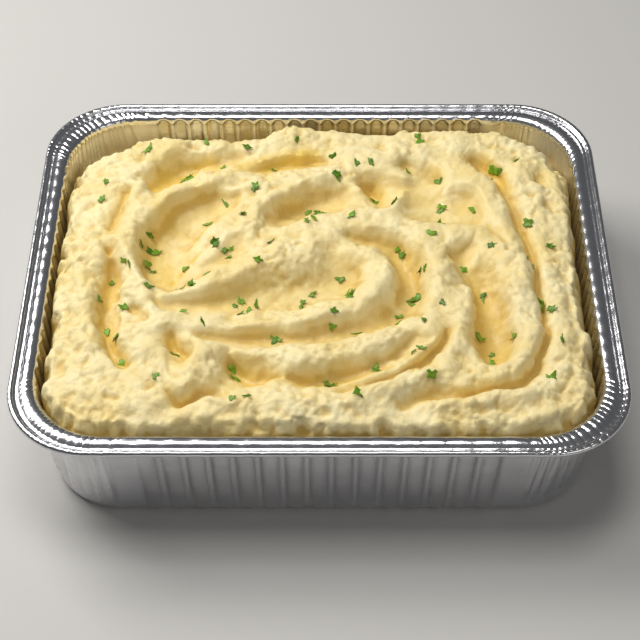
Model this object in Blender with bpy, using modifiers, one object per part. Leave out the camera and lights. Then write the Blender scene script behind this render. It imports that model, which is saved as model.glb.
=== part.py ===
"""Mashed potato side in a half-size foil tray.

Two separate pieces: the pressed foil tray (fluted walls, rounded corners, flat base, rim with
a shelf, a groove and a rolled bead) and the mashed potato that fills it, spread in one long
spoon swirl with ridges and hollows.  Metres, +Z up.  The origin is the middle of the base, on
the surface that the tray stands on; +X is the tray's length and +Y its width.
"""
import math

import bpy
import numpy as np

MM = 0.001

# ---- driving dimensions of the tray
TRAY_LENGTH = 0.324
TRAY_WIDTH = 0.272
TRAY_HEIGHT = 0.070
FOIL = 0.0008              # wall thickness of the solid, stiffened up from thin foil
RIM_CORNER = 0.0447        # outer corner radius of the rim
WALL_CORNER = 0.0390       # corner radius of the walls
FLUTE_TOP_INSET = 0.0142   # rim's outer edge to the wall, at the top of the flutes
WALL_BASE_INSET = 0.0172   # the same at the foot of the wall
FOOT_INSET = 0.0192        # the same at the edge of the flat base
FOOT_HEIGHT = 0.0040       # where the flutes start
FLUTE_TOP = 0.0610         # where they end, under the rim
FLUTE_DEPTH = 0.0012       # half of a flute's depth
LONG_FLUTES = 17
SHORT_FLUTES = 13
CORNER_STEPS = 6

# the rim, from the wall outwards: inset from the outer edge, drop from the rim's top
RIM_PROFILE = (
    (0.0130, 0.0027),      # top of the wall, where it turns over
    (0.0090, 0.0000),      # crest of the shelf
    (0.0044, 0.0016),      # groove
    (0.0022, 0.0000),      # crest of the bead
    (0.0000, 0.0016),      # outside of the bead
    (0.0003, 0.0036),      # lip under it
)

# ---- driving dimensions of the mash
GAP = 0.0003               # clearance to the foil
MASH_SIDE_HEIGHT = 0.0440  # where the mash leaves the walls
SIDE_BEVEL_HEIGHT = 0.0080 # where its side turns in to clear the foot of the wall
SIDE_BEVEL = 0.0045
SHOULDER_HEIGHT = 0.0660   # height of the heap's outline
SHOULDER_BLEND = 0.0030    # softness of the heap's edge
SIDE_REACH = 0.1430        # the outline, from the middle: the two ends
FRONT_REACH = 0.1180
BACK_REACH = 0.1050        # the back, left of the middle
BACK_STEP = 0.0070         # how much further out it is right of the middle
PEAK_REACH = 0.0060        # and at the peak that leans out between the two
PEAK_X = -0.0150
PEAK_WIDTH = 0.0130
BACK_CORNER = 0.0550
FRONT_CORNER = 0.0360
STEEP_EDGE = 3.0           # slope of the edge at the ends and the front
BACK_EDGE = 1.25           # and at the back, where the heap stops short of the wall
HEAP_LEVEL = 0.0715        # level of the mash away from all strokes
HEAP_WEIGHT = 0.03
LUMP = 0.0008              # height of the broad lumps between the strokes
LUMP_PITCH = 0.017
MASH_CELLS = (54, 43)      # cells of the top surface along X and Y
EDGE_CROWDING = 1.25       # above 1, cells get narrower towards the walls

# A stroke is a crest or a furrow floor drawn through a few points (x, y, height) in
# millimetres, with a roundness (mm) and the slopes of the flanks to its left and right.
RIDGES = (
    # outer bank along the left wall, with its lobe
    (9, 1.4, 1.4, ((-126, 4, 75), (-130, -12, 75), (-128, -30, 75), (-125, -50, 75), (-120, -66, 74),
                   (-118, -76, 73))),
    (7, 1.5, 1.6, ((-139, -13, 71), (-133, -2, 75), (-125, 5, 76), (-117, 2, 75))),
    (8, 1.2, 1.2, ((-133, 57, 70), (-136, 40, 69), (-138, 15, 69), (-140, -15, 69), (-139, -50, 69),
                   (-134, -88, 69))),
    (9, 1.2, 1.2, ((-112, 76, 73), (-118, 62, 73), (-122, 48, 72), (-126, 30, 72), (-128, 16, 72))),
    # back rows
    (7, 1.4, 1.4, ((-110, 76, 72), (-100, 78, 74), (-92, 85, 75), (-84, 90, 76), (-75, 88, 74), (-62, 91, 74),
                   (-48, 95, 73), (-35, 98, 73), (-22, 103, 75), (-16, 108, 76), (-9, 105, 74))),
    (8, 1.3, 1.3, ((-9, 105, 74), (3, 103, 73), (18, 97, 72), (28, 102, 73), (40, 98, 72), (58, 100, 73),
                   (78, 100, 75), (88, 99, 75), (98, 94, 73))),
    (7, 1.3, 1.5, ((88, 97, 74), (96, 88, 73), (105, 86, 72), (112, 84, 72))),
    # the broad hooded bank to the left of the large hollow
    (8, 1.5, 1.9, ((-102, 57, 77), (-104, 45, 77), (-107, 32, 76), (-109, 20, 76), (-108, 8, 75),
                   (-104, -4, 75), (-99, -14, 76), (-96, -27, 75), (-90, -36, 74))),
    # long arch over the hollow, and the crests behind and inside it
    (8, 1.5, 1.6, ((-95, 35, 76), (-88, 43, 77), (-82, 49, 77), (-75, 53, 77), (-66, 57, 77), (-55, 65, 77),
                   (-45, 72, 77), (-30, 80, 76), (-12, 85, 75), (8, 85, 74), (28, 82, 74), (45, 84, 75),
                   (58, 86, 75))),
    (5, 1.5, 1.5, ((-56, 56, 74), (-46, 56, 75), (-34, 58, 75), (-24, 61, 74), (-12, 66, 74), (5, 72, 74),
                   (22, 74, 73), (38, 72, 73), (49, 66, 74))),
    (5, 1.4, 1.4, ((-61, 2, 72), (-52, 16, 73), (-48, 32, 73), (-43, 46, 73))),
    (6, 1.5, 1.7, ((-44, 20, 75), (-38, 34, 76), (-30, 43, 77), (-20, 50, 77), (-10, 57, 77), (-2, 63, 77),
                   (6, 65, 76), (16, 62, 74), (22, 55, 73))),
    # crest below the two deep pits, up round the right one
    (5, 1.5, 1.6, ((-24, 14, 74), (-12, 20, 75), (0, 25, 75), (12, 29, 76), (24, 32, 76), (34, 33, 76),
                   (42, 38, 76), (45, 47, 76), (49, 55, 75))),
    (4, 1.5, 1.5, ((73, 54, 73), (77, 63, 74), (75, 75, 74), (61, 83, 74))),
    # main arm of the swirl
    (9, 1.5, 1.5, ((-83, -28, 74), (-70, -26, 75), (-55, -19, 77), (-40, -10, 77), (-27, -5, 77),
                   (-14, 3, 78), (-3, 12, 78), (8, 19, 77), (22, 22, 77), (38, 22, 77), (50, 17, 77),
                   (60, 5, 78), (65, -12, 78), (67, -30, 78), (65, -44, 78), (56, -54, 77), (42, -62, 77),
                   (28, -67, 76), (12, -71, 76), (-4, -73, 76), (-14, -80, 75), (-22, -88, 73))),
    (5, 1.5, 1.5, ((-8, -74, 75), (-26, -72, 74), (-46, -69, 74), (-58, -64, 74))),
    # hook inside the arm, and its tail to the left
    (7, 1.6, 1.6, ((14, 4, 75), (24, 2, 76), (32, -5, 77), (35, -15, 77), (33, -26, 77), (24, -35, 77),
                   (10, -43, 76), (-5, -48, 76), (-22, -50, 75), (-40, -51, 75), (-58, -52, 75),
                   (-74, -52, 75), (-86, -45, 74), (-92, -38, 73))),
    # lower left: knob and the ridge beside it
    (10, 1.4, 1.4, ((-97, -60, 74), (-93, -70, 76), (-91, -82, 75))),
    (8, 1.5, 1.7, ((-66, -60, 76), (-62, -70, 76), (-65, -82, 76), (-70, -93, 76), (-82, -100, 75),
                   (-95, -99, 74))),
    (9, 1.2, 1.2, ((-130, -80, 73), (-119, -92, 74), (-106, -100, 74), (-92, -107, 73))),
    # ropes below the swirl, turning up on its right
    (4, 1.8, 1.8, ((22, -91, 74), (33, -86, 75), (43, -81, 75), (52, -75, 76), (60, -66, 76), (65, -54, 76))),
    (6, 1.5, 1.8, ((-55, -103, 74), (-38, -106, 75), (-18, -105, 75), (0, -106, 75), (14, -106, 75),
                   (24, -100, 76), (35, -95, 76), (46, -91, 76), (58, -86, 77), (67, -78, 77), (72, -66, 77),
                   (75, -53, 78), (79, -42, 77), (80, -25, 75))),
    (7, 1.0, 1.0, ((-119, -111, 70), (-90, -114, 70), (-60, -111, 71), (-30, -113, 71), (0, -113, 71),
                   (35, -114, 70), (70, -112, 70), (104, -109, 71), (124, -101, 70))),
    # right side
    (8, 1.5, 1.5, ((70, 16, 76), (80, 19, 77), (88, 20, 77), (92, 12, 76), (90, 2, 75), (84, -6, 74))),
    (11, 1.0, 2.0, ((78, 59, 76), (87, 58, 78), (94, 50, 78), (97, 38, 78), (99, 24, 78), (102, 8, 78),
                    (105, -8, 78), (109, -25, 78), (112, -42, 78), (112, -58, 78), (108, -72, 77),
                    (99, -81, 77), (88, -83, 75), (79, -76, 74))),
    (9, 1.3, 1.3, ((110, 84, 72), (115, 72, 74), (119, 60, 74), (121, 45, 74), (122, 25, 73), (125, 5, 73),
                   (127, -15, 74), (129, -35, 74), (131, -55, 74), (131, -75, 74), (127, -92, 73))),
    (7, 1.2, 1.2, ((131, 76, 70), (135, 50, 70), (135, 15, 71), (136, -25, 71), (137, -65, 71))),
    (6, 1.5, 1.5, ((58, -108, 74), (70, -106, 75), (82, -105, 75), (95, -102, 75), (108, -99, 75),
                   (120, -97, 74))),
)
FURROWS = (
    (5, 1.8, 1.8, ((-118, 5, 63), (-115, -5, 63), (-115, -20, 64), (-116, -35, 64), (-114, -50, 65),
                   (-110, -65, 66), (-102, -76, 67))),
    (3, 1.8, 1.8, ((-111, 53, 70), (-115, 37, 69), (-119, 24, 69))),
    # the large hollow: deep under the arch, and a crease along its lower edge
    (7, 1.8, 0.45, ((-95, -6, 64), (-93, 6, 62), (-92, 20, 62), (-87, 36, 62), (-77, 46, 63), (-63, 53, 65),
                    (-52, 54, 68))),
    (4, 0.5, 1.6, ((-90, -12, 64), (-80, -17, 65), (-70, -10, 66), (-58, 0, 68), (-46, 10, 70))),
    (6, 1.2, 1.5, ((-96, 62, 64), (-90, 70, 63), (-78, 78, 64), (-63, 83, 66), (-50, 86, 69))),
    (5, 1.3, 1.5, ((-48, 71, 67), (-36, 76, 63), (-20, 81, 62), (-7, 83, 64), (2, 83, 67))),
    # two deep pits
    (6, 1.2, 1.0, ((-22, 36, 67), (-17, 43, 64), (-7, 48, 64), (4, 50, 66), (14, 50, 68), (20, 48, 70))),
    (5, 1.4, 1.4, ((30, 61, 59), (34, 58, 59))),
    (10, 0.5, 0.5, ((50, 53, 68), (63, 50, 67), (76, 46, 68), (84, 40, 69))),
    (4, 1.6, 1.6, ((50, 78, 69), (54, 76, 70))),
    (5, 1.4, 1.4, ((62, 72, 67), (68, 68, 66), (70, 64, 68))),
    # right of the right arm, round its foot and along the front
    (4, 1.7, 1.7, ((92, 84, 66), (97, 79, 63), (103, 72, 64), (107, 60, 67), (109, 48, 67), (113, 32, 66),
                   (116, 24, 65))),
    (3, 1.7, 1.7, ((116, 24, 65), (117, 12, 67), (119, 0, 68), (119, -15, 68), (119, -28, 67), (121, -43, 67),
                   (121, -58, 67), (117, -72, 66), (113, -82, 65), (105, -90, 66), (94, -93, 68), (82, -97, 68),
                   (68, -99, 69), (54, -99, 69), (42, -105, 69))),
    (3, 1.2, 1.2, ((95, 28, 74), (99, 18, 72), (104, 8, 73))),
    # between the arm and the hook
    (6, 1.3, 1.3, ((18, 19, 69), (30, 17, 67), (40, 12, 66), (47, 1, 65), (50, -14, 65), (49, -28, 66),
                   (41, -39, 66), (26, -47, 67), (6, -53, 67), (-15, -56, 67), (-36, -56, 66), (-52, -55, 67),
                   (-63, -57, 69))),
    # inside the hook
    (6, 1.1, 1.1, ((-86, -32, 68), (-68, -31, 67), (-50, -29, 67), (-30, -27, 67), (-12, -24, 67),
                   (3, -19, 67), (12, -10, 68), (12, -1, 70))),
    (6, 0.7, 1.5, ((80, -1, 70), (84, -15, 66), (87, -30, 64), (89, -45, 63), (91, -60, 63), (91, -70, 65))),
    # below the swirl
    (4, 1.5, 1.5, ((-48, -68, 66), (-44, -76, 61), (-36, -81, 62), (-22, -85, 64), (-6, -87, 65), (10, -85, 66),
                   (22, -80, 67), (32, -75, 68), (42, -69, 69), (52, -60, 71))),
    (3, 1.7, 1.7, ((14, -94, 69), (28, -90, 69), (42, -83, 69), (53, -77, 68), (62, -69, 69), (68, -57, 70))),
    # lower left
    (5, 1.5, 1.5, ((-79, -57, 67), (-77, -62, 64), (-74, -66, 64), (-72, -69, 67))),
    (3, 1.6, 1.6, ((-77, -98, 67), (-70, -103, 64), (-61, -98, 66), (-52, -96, 68))),
    (3, 1.6, 1.6, ((-101, -36, 69), (-93, -43, 70))),
    (3, 1.6, 1.6, ((-109, -100, 68), (-103, -101, 68))),
)
STROKE_LIFT = 0.0008       # crests are drawn higher and furrows deeper by this
STROKE_SLOPE = 1.5         # the slope that counts a distance as it is
STROKE_REACH = 0.030       # how far from its line a stroke is worked out


def clear_scene():
    """Remove whatever the scene holds."""
    for obj in list(bpy.data.objects):
        bpy.data.objects.remove(obj, do_unlink=True)


def material(name, colour, roughness, metallic):
    """A Principled material."""
    mat = bpy.data.materials.new(name)
    mat.use_nodes = True
    shader = mat.node_tree.nodes["Principled BSDF"]
    shader.inputs["Base Color"].default_value = (*colour, 1.0)
    shader.inputs["Roughness"].default_value = roughness
    shader.inputs["Metallic"].default_value = metallic
    return mat


def mesh_object(name, points, faces, mat, collection):
    """Make a mesh object, shaded smooth but for its folds."""
    mesh = bpy.data.meshes.new(name)
    mesh.from_pydata([tuple(p) for p in points], [], faces)
    mesh.materials.append(mat)
    mesh.shade_smooth()
    mesh.set_sharp_from_angle(angle=math.radians(40))
    obj = bpy.data.objects.new(name, mesh)
    collection.objects.link(obj)
    return obj


# ------------------------------------------------------------------ tray

def ring(inset, height, corner, flute):
    """One level of the tray: a rounded rectangle whose straight sides swing in and out.

    The straight sides carry two points a flute, one pushed out and one pulled in; the corners
    are plain arcs.
    """
    half_x = TRAY_LENGTH / 2 - inset
    half_y = TRAY_WIDTH / 2 - inset
    run_x = half_x - corner
    run_y = half_y - corner
    sides = (
        (0, run_x, half_y, SHORT_FLUTES, run_y, half_x),
        (90, run_y, half_x, LONG_FLUTES, run_x, half_y),
        (180, run_x, half_y, SHORT_FLUTES, run_y, half_x),
        (270, run_y, half_x, LONG_FLUTES, run_x, half_y),
    )
    points = []
    for turn, far_run, _, flutes, run, reach in sides:
        steps = 2 * flutes
        along = np.linspace(-run, run, steps + 1)
        swing = np.where(np.arange(steps + 1) % 2 == 1, 1.0, -1.0) * flute
        swing[0] = swing[-1] = 0.0
        side = np.column_stack((reach + swing, along))
        angle = np.radians(np.linspace(0, 90, CORNER_STEPS + 1)[1:-1])
        arc = np.column_stack((far_run + corner * np.cos(angle), run + corner * np.sin(angle)))
        a = math.radians(turn)
        spin = np.array(((math.cos(a), math.sin(a)), (-math.sin(a), math.cos(a))))
        points.append(np.vstack((side, arc)) @ spin)
    plan = np.vstack(points)
    return np.column_stack((plan, np.full(len(plan), height)))


def tray_rings():
    """Levels of the foil's outer face, from the flat base to the lip under the bead."""
    top = TRAY_HEIGHT - FOIL
    levels = [
        (FOOT_INSET, 0.0, WALL_CORNER, 0.0),
        (WALL_BASE_INSET, FOOT_HEIGHT, WALL_CORNER, FLUTE_DEPTH),
        (FLUTE_TOP_INSET, FLUTE_TOP, WALL_CORNER, FLUTE_DEPTH),
    ]
    for inset, drop in RIM_PROFILE:
        share = inset / RIM_PROFILE[0][0]
        corner = RIM_CORNER + (WALL_CORNER - RIM_CORNER) * share
        levels.append((max(inset, 0.0) + FOIL, top - drop, corner, 0.0))
    return [ring(*level) for level in levels]


def make_tray(collection):
    """Loft the foil's outer face through the rings and give it its thickness inwards."""
    rings = tray_rings()
    count = len(rings[0])
    points = np.vstack(rings)
    faces = [tuple(reversed(range(count)))]
    for level in range(len(rings) - 1):
        low = level * count
        for i in range(count):
            j = (i + 1) % count
            faces.append((low + i, low + j, low + count + j, low + count + i))
    foil = material("foil", (0.66, 0.66, 0.67), 0.28, 1.0)
    tray = mesh_object("tray", points, faces, foil, collection)
    shell = tray.modifiers.new("foil", "SOLIDIFY")
    shell.thickness = FOIL
    shell.offset = -1.0
    shell.use_even_offset = True
    return tray


# ------------------------------------------------------------------ mash

def smooth_curve(stroke_points, steps=8):
    """Catmull-Rom curve through a stroke's points, in metres."""
    knots = np.array(stroke_points, dtype=float) * MM
    knots = np.vstack((2 * knots[0] - knots[1], knots, 2 * knots[-1] - knots[-2]))
    t = np.linspace(0, 1, steps, endpoint=False)[:, None]
    runs = []
    for i in range(1, len(knots) - 2):
        p0, p1, p2, p3 = knots[i - 1:i + 3]
        runs.append(0.5 * (2 * p1 + (p2 - p0) * t + (2 * p0 - 5 * p1 + 4 * p2 - p3) * t ** 2
                           + (3 * p1 - 3 * p2 + p3 - p0) * t ** 3))
    runs.append(knots[-2:-1])
    return np.vstack(runs)


def nearest_on_curve(x, y, curve):
    """Distance to the curve, the side and the curve's height there.

    The side is 1 square to the left of the curve, -1 square to the right and 0 off its ends.
    """
    best = np.full(x.shape, np.inf)
    side = np.zeros(x.shape)
    height = np.zeros(x.shape)
    for a, b in zip(curve[:-1], curve[1:]):
        dx, dy, dz = b - a
        t = np.clip(((x - a[0]) * dx + (y - a[1]) * dy) / (dx * dx + dy * dy), 0, 1)
        off_x = x - a[0] - t * dx
        off_y = y - a[1] - t * dy
        squared = off_x ** 2 + off_y ** 2
        nearer = squared < best
        best = np.where(nearer, squared, best)
        side = np.where(nearer, (dx * off_y - dy * off_x) / math.hypot(dx, dy), side)
        height = np.where(nearer, a[2] + t * dz, height)
    distance = np.sqrt(best)
    return distance, side / np.maximum(distance, 1e-9), height


def blend(a, b, softness, sign):
    """Smooth maximum (sign +1) or minimum (sign -1) of two heights."""
    return 0.5 * (a + b + sign * np.sqrt((a - b) ** 2 + softness ** 2))


def stroke_share(x, y, stroke, sign):
    """Which points a stroke bears on, how much it weighs there and its height there.

    The weight at a distance d is ((r + 2 mm) / apart) ^ 2, where apart is the length of
    (d * slope, 0.8 mm + r / 4): wide strokes with gentle sides reach further.
    """
    roundness, left, right, stroke_points = stroke
    curve = smooth_curve(stroke_points)
    low = curve[:, :2].min(axis=0) - STROKE_REACH
    high = curve[:, :2].max(axis=0) + STROKE_REACH
    near = (x > low[0]) & (x < high[0]) & (y > low[1]) & (y < high[1])
    distance, side, height = nearest_on_curve(x[near], y[near], curve)
    slope = (0.5 * (left + right) + 0.5 * side * (left - right)) / STROKE_SLOPE
    apart = np.hypot(distance * slope, (0.8 + 0.25 * roundness) * MM)
    fade = np.clip(1 - (distance / STROKE_REACH) ** 2, 0, 1) ** 2
    return near, ((roundness + 2.0) * MM / apart) ** 2 * fade, height + sign * STROKE_LIFT


def inside_depth(x, y, half_x, half_y, corner):
    """How far a point lies inside a rounded rectangle."""
    qx = np.abs(x) - (half_x - corner)
    qy = np.abs(y) - (half_y - corner)
    outside = np.hypot(np.maximum(qx, 0), np.maximum(qy, 0))
    return corner - outside - np.minimum(np.maximum(qx, qy), 0)


def mash_inset(height):
    """Inset of the mash's side from the rim's outer edge, just clear of the flutes."""
    share = (height - FOOT_HEIGHT) / (FLUTE_TOP - FOOT_HEIGHT)
    wall = WALL_BASE_INSET + (FLUTE_TOP_INSET - WALL_BASE_INSET) * share
    return wall + FOIL + FLUTE_DEPTH + 2 * GAP


def smoothstep(value, low, high):
    """Rise from 0 to 1 between two limits, level at both."""
    t = np.clip((value - low) / (high - low), 0, 1)
    return t * t * (3 - 2 * t)


def shoulder_height(x, y):
    """Height of the shoulder that ends the heap on all sides.

    It crosses its own height on a rounded outline and falls away outside it: steeply at the
    ends and the front, at about 50 degrees at the back.
    """
    back = (BACK_REACH + BACK_STEP * smoothstep(x, -0.045, 0.0)
            + PEAK_REACH * np.exp(-((x - PEAK_X) / PEAK_WIDTH) ** 2))
    behind = inside_depth(x, y, SIDE_REACH, back, BACK_CORNER)
    before = inside_depth(x, y, SIDE_REACH, FRONT_REACH, FRONT_CORNER)
    depth = np.where(y > 0, behind, before)
    slope = STEEP_EDGE + (BACK_EDGE - STEEP_EDGE) * smoothstep(y, 0.045, 0.085)
    return SHOULDER_HEIGHT + slope * depth


def mash_height(x, y):
    """Height of the mash: the weighted mean of all strokes, lumps, and the edge of the heap."""
    weight = np.full(x.shape, HEAP_WEIGHT)
    heap = weight * HEAP_LEVEL
    for strokes, sign in ((RIDGES, 1), (FURROWS, -1)):
        for stroke in strokes:
            near, share, height = stroke_share(x, y, stroke, sign)
            weight[near] += share
            heap[near] += share * height
    heap /= weight
    turn_x = 2 * np.pi * x / LUMP_PITCH
    turn_y = 2 * np.pi * y / LUMP_PITCH
    heap += LUMP * np.sin(0.83 * turn_x + 0.9 * np.sin(0.61 * turn_y)) * np.sin(0.71 * turn_y + 1.3)
    heap = blend(heap, shoulder_height(x, y), SHOULDER_BLEND, -1)
    return np.maximum(heap, MASH_SIDE_HEIGHT)


def plan_point(a, b, half_x, half_y, corner):
    """Carry a point of the square's border (a or b is -1 or 1) onto a rounded rectangle.

    Straight stretches keep their place; the last stretch before a corner of the square turns
    onto one half of the quarter circle.
    """
    x = a * half_x
    y = b * half_y
    past_x = np.clip((np.abs(x) - (half_x - corner)) / corner, 0, 1)
    past_y = np.clip((np.abs(y) - (half_y - corner)) / corner, 0, 1)
    on_x_side = np.abs(a) >= np.abs(b)
    quarter = math.radians(90)
    angle = np.where(on_x_side, past_y * quarter / 2, quarter - past_x * quarter / 2)
    in_corner = (past_x > 0) & (past_y > 0)
    arc_x = np.sign(x) * (half_x - corner + corner * np.cos(angle))
    arc_y = np.sign(y) * (half_y - corner + corner * np.sin(angle))
    return np.where(in_corner, arc_x, x), np.where(in_corner, arc_y, y)


def make_mash(collection):
    """Top surface on a grid bent to the tray's plan, then its side and a flat underside."""
    cells_x, cells_y = MASH_CELLS
    inset = mash_inset(MASH_SIDE_HEIGHT)
    half_x = TRAY_LENGTH / 2 - inset
    half_y = TRAY_WIDTH / 2 - inset
    corner = WALL_CORNER - FOIL - FLUTE_DEPTH

    u, v = np.meshgrid(np.linspace(-1, 1, cells_x + 1), np.linspace(-1, 1, cells_y + 1))
    u = u.ravel()
    v = v.ravel()
    spread = np.maximum(np.abs(u), np.abs(v))
    safe = np.where(spread > 0, spread, 1)
    edge_x, edge_y = plan_point(u / safe, v / safe, half_x, half_y, corner)
    reach = 1 - (1 - spread) ** EDGE_CROWDING
    x = edge_x * reach
    y = edge_y * reach
    points = [np.column_stack((x, y, mash_height(x, y)))]

    row = cells_x + 1
    faces = []
    for j in range(cells_y):
        for i in range(cells_x):
            k = j * row + i
            faces.append((k, k + 1, k + row + 1, k + row))

    border = [i for i in range(cells_x)]
    border += [j * row + cells_x for j in range(cells_y)]
    border += [cells_y * row + i for i in range(cells_x, 0, -1)]
    border += [j * row for j in range(cells_y, 0, -1)]
    count = len(border)
    upper = border
    total = len(x)
    for height, extra in ((SIDE_BEVEL_HEIGHT, 0.0), (FOIL + GAP, SIDE_BEVEL)):
        inset = mash_inset(height) + extra
        side_x, side_y = plan_point(u[border], v[border], TRAY_LENGTH / 2 - inset,
                                    TRAY_WIDTH / 2 - inset, corner)
        points.append(np.column_stack((side_x, side_y, np.full(count, height))))
        lower = list(range(total, total + count))
        total += count
        for i in range(count):
            j = (i + 1) % count
            faces.append((upper[j], upper[i], lower[i], lower[j]))
        upper = lower
    faces.append(tuple(reversed(upper)))
    potato = material("mashed_potato", (0.90, 0.76, 0.44), 0.5, 0.0)
    return mesh_object("mash", np.vstack(points), faces, potato, collection)


def main():
    """Build the tray and the mash into one collection."""
    clear_scene()
    collection = bpy.data.collections.new("mashed_potato_side")
    bpy.context.scene.collection.children.link(collection)
    make_tray(collection)
    make_mash(collection)


main()
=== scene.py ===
"""The looks of a mashed potato side in a half-size foil tray.

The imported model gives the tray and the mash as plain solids.  Here the tray becomes a fine
pressed-foil shell, the mash a fine swirled surface stained with melted butter, and chopped
parsley is scattered over it.  Metres, +Z up, the frame's own axes.
"""
import math

import bmesh
import bpy
import numpy as np
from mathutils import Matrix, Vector


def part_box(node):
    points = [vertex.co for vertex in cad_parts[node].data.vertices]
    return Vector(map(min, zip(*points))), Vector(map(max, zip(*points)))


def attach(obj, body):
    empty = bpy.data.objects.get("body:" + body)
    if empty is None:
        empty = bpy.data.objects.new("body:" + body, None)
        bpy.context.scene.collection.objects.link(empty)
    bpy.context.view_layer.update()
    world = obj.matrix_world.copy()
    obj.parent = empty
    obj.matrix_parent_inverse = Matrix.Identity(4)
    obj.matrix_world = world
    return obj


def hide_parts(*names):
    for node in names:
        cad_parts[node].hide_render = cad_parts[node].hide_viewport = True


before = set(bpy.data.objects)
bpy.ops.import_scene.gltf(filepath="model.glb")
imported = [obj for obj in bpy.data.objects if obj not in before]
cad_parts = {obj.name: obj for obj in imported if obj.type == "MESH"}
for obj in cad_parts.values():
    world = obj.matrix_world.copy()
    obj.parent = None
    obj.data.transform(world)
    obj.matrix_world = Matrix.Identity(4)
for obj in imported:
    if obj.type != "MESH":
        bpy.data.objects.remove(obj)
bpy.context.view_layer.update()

MM = 0.001
SEED = 7

# ------------------------------------------------------------------ sizes read from the frame

TRAY_LOW, TRAY_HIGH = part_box("tray")
HALF_X = (TRAY_HIGH[0] - TRAY_LOW[0]) / 2
HALF_Y = (TRAY_HIGH[1] - TRAY_LOW[1]) / 2
RIM_TOP = 0.0700

# ------------------------------------------------------------------ the tray's own sizes

FOIL = 0.0003
RIM_CORNER = 0.0447
WALL_CORNER = 0.0390
WALL_TOP_INSET = 0.0136
WALL_BASE_INSET = 0.0172
FOOT_RADIUS = 0.0032
SIDE_FLUTES = (18, 22, 18, 17)   # right, back, left, front
PLAIN_ENDS = (0, 1, 0, 1)        # flutes left out at each end of a side
STEPS_PER_FLUTE = 9
CORNER_STEPS = 116
FLUTE_DEPTH = 0.0021
FLUTE_HALF_WIDTH = 0.41          # share of the pitch
FLUTE_TOP = 0.0678
FLUTE_FOOT = 0.0030
CORNER_PLEATS = 19
PLEAT_DEPTH = 0.0011
CRIMP_END = 0.0080               # how far the rim's crimps run on past a corner
CRIMP_LIFT = 0.00055
RIPPLE_LIFT = 0.00010

# ------------------------------------------------------------------ the mash's own sizes

MASH_GAP = 0.0006
SIDE_HEIGHT = 0.0420           # the side below this follows the wall
SHOULDER_HEIGHT = 0.0660       # where the shoulder crosses its outline
SIDE_REACH = 0.1430            # the outline at the ends, half length
FRONT_REACH = 0.1180           # the outline at the front
BACK_REACH = 0.1050            # and at the back, on the left
BACK_STEP = 0.0070             # further back on the right
PEAK_REACH = 0.0060            # and out again at the peak
MASH_CELLS = (325, 268)
STROKE_POWER = 2.0
STROKE_REACH = 0.030           # beyond this a stroke has no weight
STROKE_LIFT = 0.0012           # crests higher and furrows deeper than drawn
STROKE_SLOPE = 1.5             # the slope that counts distances as they are
HEAP_WEIGHT = 0.03             # weight of the plain heap under all strokes
HEAP_LEVEL = 0.0715            # and its height
SHOULDER_BLEND = 0.0030        # softness of the heap's edge
BEND = 0.0013                  # how far the strokes wander sideways
BEND_PITCH = 0.0120
SMALL_BEND = 0.0005
SMALL_BEND_PITCH = 0.005
BROAD_LUMP = 0.0013
BROAD_LUMP_PITCH = 0.016
LARGE_GRAIN = 0.0018           # height of the grains of three sizes
LARGE_GRAIN_PITCH = 0.0076
MIDDLING_GRAIN = 0.0015
MIDDLING_GRAIN_PITCH = 0.0049
SMALL_GRAIN = 0.0009
SMALL_GRAIN_PITCH = 0.0030
LUMP = 0.0009
FINE = 0.00025
CAVITY_CELLS = 3               # reach of the fine and the broad mean height, for the painted shade in creases and hollows
HOLLOW_CELLS = 12

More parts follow.
